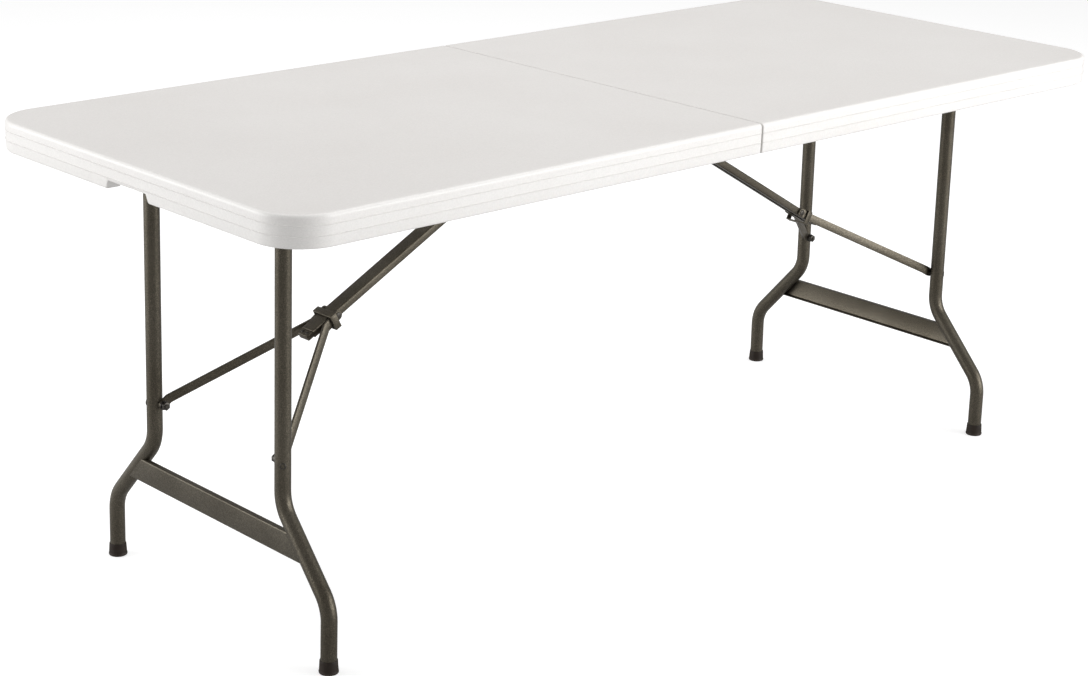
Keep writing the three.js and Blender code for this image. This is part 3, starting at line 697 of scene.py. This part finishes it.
def hinge_rivet(edge):
    """The rivet through a hinge's two arms, with a low head at each end."""
    node = f"{edge}_hinge_pin"
    low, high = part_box(node)
    half = (high.y - low.y) / 2
    head, shank, rim, seat = HINGE_HEAD, HINGE_SHANK, 2 * MM, 2.5 * MM
    outline = [(0, -half), (head * 0.6, -half), (head * 0.9, -half + 0.8 * MM), (head, -half + rim),
               (head, -half + seat), (shank, -half + seat)]
    bm = bmesh.new()
    turned(bm, both_ways(outline), (low + high) / 2, Y)
    finish_piece(f"{edge}_hinge_rivet", bm, "fastener_steel", "left_half", (node,))


def hinges():
    for side in SIDES:
        for edge in EDGES:
            softened_copy(f"{side}_{edge}_hinge_leaf", f"{side}_{edge}_hinge_plate", "coated_steel",
                          f"{side}_half", 0.6 * MM)
    for edge in EDGES:
        hinge_rivet(edge)


# ---- Leg frames -----------------------------------------------------------------------------------


def down_leg(height):
    """Place along a leg, from its pivot, of a height above the floor."""
    return -(LEG_PIVOT.z - height) / math.cos(LEAN)


def leg_corners(sign):
    return [(0, sign * UPPER_SPREAD, -TUBE * 0.5), (0, sign * UPPER_SPREAD, down_leg(UPPER_BEND)),
            (0, sign * FOOT_SPREAD, down_leg(LOWER_BEND)), (0, sign * FOOT_SPREAD, down_leg(TUBE_END))]


def leg(side, edge):
    sign = own_edge(side, edge)
    bm = bmesh.new()
    bent_tube(bm, TUBE, leg_corners(sign), TUBE_BEND)
    place(bm, HALF_FRAME[side] @ LEG_FRAME)
    finish_piece(f"{side}_{edge}_leg", bm, "coated_steel", f"{side}_leg", (f"{side}_{edge}_leg_tube",))


def saddle_weld(side, edge):
    """The bead of weld where a leg meets the tube across the top."""
    sign = own_edge(side, edge)
    centre = Vector((0, sign * UPPER_SPREAD, 0))
    angles = (math.tau * i / 8 for i in range(9))
    circle = [(TUBE + WELD_BEAD * math.cos(a), WELD_BEAD * math.sin(a)) for a in angles]
    bm = bmesh.new()
    turned(bm, circle, centre, Z, 32)
    for vert in bm.verts:
        across = vert.co.y - centre.y
        ripple = WELD_BEAD / 4 * math.sin(WELD_RIPPLES * math.atan2(across, vert.co.x))
        vert.co.z += ripple - math.sqrt(max((TUBE + WELD_BEAD) ** 2 - across ** 2, 0))
    place(bm, HALF_FRAME[side] @ LEG_FRAME)
    mend(bm)
    finish_piece(f"{side}_{edge}_leg_weld", bm, "coated_steel", f"{side}_leg")


def top_tube(side):
    """The tube across the top of a leg frame, swaged to a neck at each end."""
    node = f"{side}_leg_crossbar"
    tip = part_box(node)[1].y
    end = TOP_TUBE_HALF
    outline = [(0, -tip), (NECK * 0.8, -tip), (NECK, -tip + 1 * MM), (NECK, -end - 1 * MM),
               (NECK * 1.25, -end), (TUBE * 0.8, -end + 1 * MM), (TUBE * 0.96, -end + 3 * MM),
               (TUBE, -end + 5 * MM)]
    bm = bmesh.new()
    turned(bm, both_ways(outline), LEG_PIVOT, Y, 28)
    place(bm, HALF_FRAME[side])
    finish_piece(f"{side}_top_tube", bm, "coated_steel", f"{side}_leg", (node,))


def leg_stretcher(side):
    """Rolled channel between the legs: its web faces the end and its ends lap onto the bent tubes."""
    z0 = down_leg(STRETCHER_LOW)
    z1 = z0 + STRETCHER_HIGH - STRETCHER_LOW
    web, lip = STRETCHER_WEB, STRETCHER_LIP
    bm = bmesh.new()
    section = [(lip, 0, z0), (web, 0, z0), (web, 0, z1), (lip, 0, z1)]
    folded_sheet(bm, section, (0, -FOOT_SPREAD, 0), (0, FOOT_SPREAD, 0), STRETCHER_BEND)
    upper, lower = down_leg(UPPER_BEND), down_leg(LOWER_BEND)
    slope = Vector((0, FOOT_SPREAD - UPPER_SPREAD, lower - upper)).normalized()
    for sign in (-1, 1):
        inward = Vector((0, sign * slope.z, -slope.y))
        on_axis = Vector((0, sign * UPPER_SPREAD, upper))
        trim(bm, on_axis + inward * STRETCHER_LAP, inward, close=False)
    thicken_inwards(bm, SHEET, Vector((lip, 0, (z0 + z1) / 2)))
    soften(bm, SHEET_EDGE, 1, 60)
    place(bm, HALF_FRAME[side] @ LEG_FRAME)
    finish_piece(f"{side}_leg_brace", bm, "coated_steel", f"{side}_leg", (f"{side}_leg_stretcher",))


def foot(side, edge):
    """A soft cap with a spread sole, pushed over a tube's end."""
    node = f"{side}_{edge}_foot_cap"
    low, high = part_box(node)
    centre = ((low.x + high.x) / 2, (low.y + high.y) / 2, 0)
    sole, neck, bore, top, inside = FOOT_SOLE, FOOT_NECK, TUBE - GAP, FOOT_HEIGHT, 6 * MM
    outline = [(0, 0.6 * MM), (sole * 0.6, 0.6 * MM), (sole * 0.68, 0), (sole * 0.9, 0),
               (sole * 0.97, 0.5 * MM), (sole, 1.6 * MM), (sole, 3.6 * MM), (sole * 0.96, 4.6 * MM),
               (neck + 0.7 * MM, inside), (neck, top - 1.6 * MM), (neck - 0.25 * MM, top - 0.5 * MM),
               (neck - 0.7 * MM, top), (bore, top), (bore, inside), (0, inside)]
    bm = bmesh.new()
    turned(bm, outline, centre, Z, 32)
    mend(bm)
    finish_piece(f"{side}_{edge}_foot", bm, "foot_plastic", f"{side}_leg", (node,))


def knee_bolt(side, edge):
    """Carries a lower arm: a hollow rivet rolled over on the leg's outer side, and a shaft inside."""
    sign = own_edge(side, edge)
    node = f"{side}_{edge}_leg_bolt"
    bm = bmesh.new()
    head, shank, bore = 5 * MM, 4.4 * MM, 3.2 * MM
    outline = [(0, TUBE - 5 * MM), (shank, TUBE - 5 * MM), (shank, TUBE - 0.4 * MM), (head, TUBE - 0.7 * MM),
               (head, TUBE), (head - 0.5 * MM, TUBE + 0.5 * MM), (shank, TUBE + 0.6 * MM),
               (bore + 0.4 * MM, TUBE + 0.4 * MM), (bore, TUBE - 0.2 * MM), (bore, TUBE - 4 * MM),
               (0, TUBE - 4 * MM)]
    outwards = Vector((KNEE_RIVET_FACE.x, sign * KNEE_RIVET_FACE.y, 0))
    turned(bm, outline, (0, sign * UPPER_SPREAD, -KNEE_DROP), outwards)
    inner = UPPER_SPREAD - TUBE
    tip, root = inner - KNEE_SHAFT_LENGTH, inner + KNEE_SHAFT_ROOT
    radius, point = KNEE_SHAFT, KNEE_SHAFT - 0.6 * MM
    shaft = [(0, tip), (point, tip), (radius, tip + 0.6 * MM), (radius, root), (0, root)]
    turned(bm, shaft, (-KNEE_INSET, 0, -KNEE_DROP), Y * sign)
    place(bm, HALF_FRAME[side] @ LEG_FRAME)
    mend(bm)
    finish_piece(f"{side}_{edge}_knee_bolt", bm, "fastener_steel", f"{side}_leg", (node,))


# ---- Braces ---------------------------------------------------------------------------------------


def upper_channel(side):
    """The pressed channel from the seam to the lock, its walls turned in underneath."""
    length, line = brace_line(side)
    y, z = BRACE_WIDTH / 2, BRACE_DEPTH / 2
    bm = bmesh.new()
    section = [(0, BRACE_LIP - y, -z), (0, -y, -z), (0, -y, z), (0, y, z), (0, y, -z), (0, y - BRACE_LIP, -z)]
    end = length + BRACE_TAIL - BLOCK_SHOWS
    folded_sheet(bm, section, (-BRACE_HEEL, 0, 0), (end, 0, 0), BRACE_BEND)
    thicken_inwards(bm, SHEET, Vector((length / 2, 0, 0)))
    soften(bm, SHEET_EDGE, 1, 60)
    place(bm, line)
    finish_piece(f"{side}_upper_channel", bm, "coated_steel", f"{side}_upper_brace",
                 (f"{side}_upper_brace",))


def end_block(side):
    """The block that closes the channel's end and shows beyond it, and its two small domed rivets."""
    length, line = brace_line(side)
    wide = BRACE_WIDTH - 2 * (SHEET + GAP)
    high = BRACE_DEPTH / 2 - SHEET - GAP
    end = length + BRACE_TAIL - BLOCK_SETBACK
    bm = bmesh.new()
    middle = Matrix.Translation((end - BLOCK_LENGTH / 2, 0, 0))
    size = Matrix.Diagonal((BLOCK_LENGTH, wide, 2 * high, 1))
    bmesh.ops.create_cube(bm, size=1, matrix=middle @ size)
    soften(bm, BLOCK_EDGE, 3)
    place(bm, line)
    finish_piece(f"{side}_end_block", bm, "coated_steel", f"{side}_upper_brace", (f"{side}_brace_block",))
    bm = bmesh.new()
    shank, sunk = 1.5 * MM, -1 * MM
    outline = [(0, sunk), (shank, sunk), (shank, 0), *dome(BLOCK_RIVET, 1.6 * MM, steps=5, closed=True)]
    for across in (-BLOCK_RIVET_SPREAD, BLOCK_RIVET_SPREAD):
        turned(bm, outline, (end - BLOCK_SHOWS / 2, across, high), Z, 16)
    place(bm, line)
    mend(bm)
    finish_piece(f"{side}_block_rivets", bm, "fastener_steel", f"{side}_upper_brace")


def headed_pin(name, node, finish, body, shank, head, head_height):
    """A pin across a joint with a domed head at each end."""
    low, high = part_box(node)
    half = (high.y - low.y) / 2
    angles = (math.pi / 2 * i / 5 for i in range(1, 6))
    crown = [(head * math.sin(a), -half + head_height * 0.8 * (1 - math.cos(a))) for a in angles]
    outline = [(0, -half), *crown, (head, -half + head_height), (shank, -half + head_height)]
    bm = bmesh.new()
    turned(bm, both_ways(outline), (low + high) / 2, Y)
    mend(bm)
    finish_piece(name, bm, finish, body, (node,))


def knee_nut(side, edge):
    """A sleeve with a washer and a hexagon nut, at the free end of a lower arm."""
    node = f"{side}_{edge}_arm_nut"
    low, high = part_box(node)
    outwards = 1 if edge == "rear" else -1
    outer, inner = (high.y, low.y) if outwards > 0 else (low.y, high.y)
    x, z = (low.x + high.x) / 2, (low.z + high.z) / 2
    bm = bmesh.new()
    bore, sleeve = 3.7 * MM, 3.9 * MM
    near, far = 2.2 * MM, 2.2 * MM + WASHER_THICKNESS
    end = abs(outer - inner) - 5.8 * MM
    washer = [(bore, near), (WASHER, near), (WASHER, far), (sleeve, far), (sleeve, end), (bore, end),
              (bore, near)]
    turned(bm, washer, (x, inner, z), Y * outwards, 20)
    seat = inner + outwards * (near - NUT_HEIGHT / 2 - NUT_GAP)
    hexagon = Matrix.Translation((x, seat, z)) @ Matrix.Rotation(math.pi / 2, 4, "X")
    nut = bmesh.ops.create_cone(bm, cap_ends=True, segments=6, radius1=NUT, radius2=NUT,
                                depth=NUT_HEIGHT, matrix=hexagon)
    corners = list({line for vert in nut["verts"] for line in vert.link_edges})
    soften(bm, 0.5 * MM, 2, 30, corners)
    finish_piece(f"{side}_{edge}_knee_nut", bm, "fastener_steel", f"{side}_lower_brace", (node,))


def brace(side):
    upper_channel(side)
    end_block(side)
    softened_copy(f"{side}_brace_bracket", f"{side}_brace_hanger", "coated_steel", f"{side}_half",
                  0.5 * MM)
    softened_copy(f"{side}_lock_ring", f"{side}_slide_ring", "coated_steel", f"{side}_lock_ring",
                  0.8 * MM)
    headed_pin(f"{side}_hanger_pin", f"{side}_brace_pin", "fastener_steel", f"{side}_half",
               shank=4 * MM, head=6 * MM, head_height=2 * MM)
    headed_pin(f"{side}_elbow_pin", f"{side}_joint_pin", "fastener_steel", f"{side}_lower_brace",
               shank=4 * MM, head=5.2 * MM, head_height=1.2 * MM)
    for edge in EDGES:
        softened_copy(f"{side}_{edge}_brace_arm", f"{side}_{edge}_lower_bar", "coated_steel",
                      f"{side}_lower_brace", 0.7 * MM)
        knee_nut(side, edge)


# ---- Carry handle ---------------------------------------------------------------------------------


def carry_handle():
    """The bail with its grooved sleeve, and the two saddles that hold its ends."""
    node = "carry_handle"
    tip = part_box(node)[1].y
    reach, half = HANDLE_REACH, HANDLE_HALF
    bm = bmesh.new()
    corners = [(0, tip, 0), (0, half, 0), (-reach, half, 0), (-reach, -half, 0), (0, -half, 0), (0, -tip, 0)]
    bent_tube(bm, HANDLE_WIRE, corners, HANDLE_BEND, 16, 6)
    place(bm, Matrix.Translation(HANDLE))
    finish_piece("bail_handle", bm, "handle_plastic", "carry_handle", (node,))
    bm = bmesh.new()
    grip, bore, width = SLEEVE, HANDLE_WIRE - 0.1 * MM, half - HANDLE_BEND - 1 * MM
    outline = [(bore, -width), (grip * 0.9, -width), (grip, -width + 1.2 * MM)]
    for i in range(1, SLEEVE_GROOVES + 1):
        y = -width + 2 * width * i / (SLEEVE_GROOVES + 1)
        outline += [(grip, y - 1 * MM), (grip - 0.6 * MM, y - 0.4 * MM),
                    (grip - 0.6 * MM, y + 0.4 * MM), (grip, y + 1 * MM)]
    outline += [(grip, width - 1.2 * MM), (grip * 0.9, width), (bore, width)]
    turned(bm, outline, HANDLE + Vector((-reach, 0, 0)), Y)
    finish_piece("handle_sleeve", bm, "handle_plastic", "carry_handle")
    for edge in EDGES:
        softened_copy(f"{edge}_handle_clip", f"{edge}_handle_saddle", "moulded_top", "right_half",
                      0.8 * MM)


# ---- Stage ----------------------------------------------------------------------------------------

SENSOR_WIDTH, LENS = 36, 76.35
CAMERA_AT = (-2.6474, -2.6894, 1.5382)
HEADING, PITCH, ROLL = (math.radians(angle) for angle in (43.507, -18.46, 1.544))
FLOOR_HALF = 30
WORLD_LIGHT, WORLD_SEEN = 0.42, 1.02


def camera():
    lens = bpy.data.cameras.new("studio_camera")
    lens.sensor_width, lens.lens = SENSOR_WIDTH, LENS
    seen = bpy.data.objects.new("studio_camera", lens)
    turn = (Matrix.Rotation(-HEADING, 4, "Z") @ Matrix.Rotation(math.pi / 2 + PITCH, 4, "X")
            @ Matrix.Rotation(ROLL, 4, "Z"))
    seen.matrix_world = Matrix.Translation(CAMERA_AT) @ turn
    bpy.context.collection.objects.link(seen)
    bpy.context.scene.camera = seen


def floor():
    bm = bmesh.new()
    bmesh.ops.create_grid(bm, x_segments=1, y_segments=1, size=FLOOR_HALF)
    mesh = bpy.data.meshes.new("studio_floor")
    bm.to_mesh(mesh)
    bm.free()
    plane = bpy.data.objects.new("studio_floor", mesh)
    bpy.context.collection.objects.link(plane)
    mesh.materials.append(floor_finish())


def softbox(name, place_at, aim, size, power):
    """A soft rectangular light that the camera does not see."""
    light = bpy.data.lights.new(name, "AREA")
    light.shape = "RECTANGLE"
    light.size, light.size_y = size
    light.energy = power
    lamp = bpy.data.objects.new(name, light)
    lamp.location = place_at
    lamp.visible_camera = False
    lamp.rotation_euler = (Vector(aim) - Vector(place_at)).to_track_quat("-Z", "Y").to_euler()
    bpy.context.collection.objects.link(lamp)


def world():
    """An even white sky, brighter where the camera looks straight at it."""
    sky = bpy.data.worlds.new("studio_world")
    sky.use_nodes = True
    nodes, links = sky.node_tree.nodes, sky.node_tree.links
    seen = nodes.new("ShaderNodeLightPath").outputs["Is Camera Ray"]
    level = nodes.new("ShaderNodeMapRange")
    for socket, number in zip(level.inputs[1:5], (0, 1, WORLD_LIGHT, WORLD_SEEN)):
        socket.default_value = number
    links.new(seen, level.inputs["Value"])
    links.new(level.outputs["Result"], nodes["Background"].inputs["Strength"])
    nodes["Background"].inputs["Color"].default_value = (1, 1, 1, 1)
    bpy.context.scene.world = sky


def studio():
    camera()
    floor()
    bpy.context.scene.view_settings.view_transform = "Standard"
    softbox("overhead_softbox", (0.3, 0.4, 3.6), aim=(0, 0, 0.4), size=(4.5, 3.5), power=88)
    softbox("front_softbox", (2.4, -4.2, 1.4), aim=(-0.1, 0, 0.6), size=(4, 2.7), power=190)
    softbox("left_softbox", (-4.2, 3.0, 1.3), aim=(0, 0, 0.5), size=(4, 2.6), power=165)
    world()


# ---- The whole table --------------------------------------------------------------------------------

studio()
for side in SIDES:
    moulded_top(side)
    top_tube(side)
    leg_stretcher(side)
    brace(side)
    for edge in EDGES:
        side_rail(side, edge)
        rail_screws(side, edge)
        leg(side, edge)
        saddle_weld(side, edge)
        foot(side, edge)
        knee_bolt(side, edge)
hinges()
carry_handle()
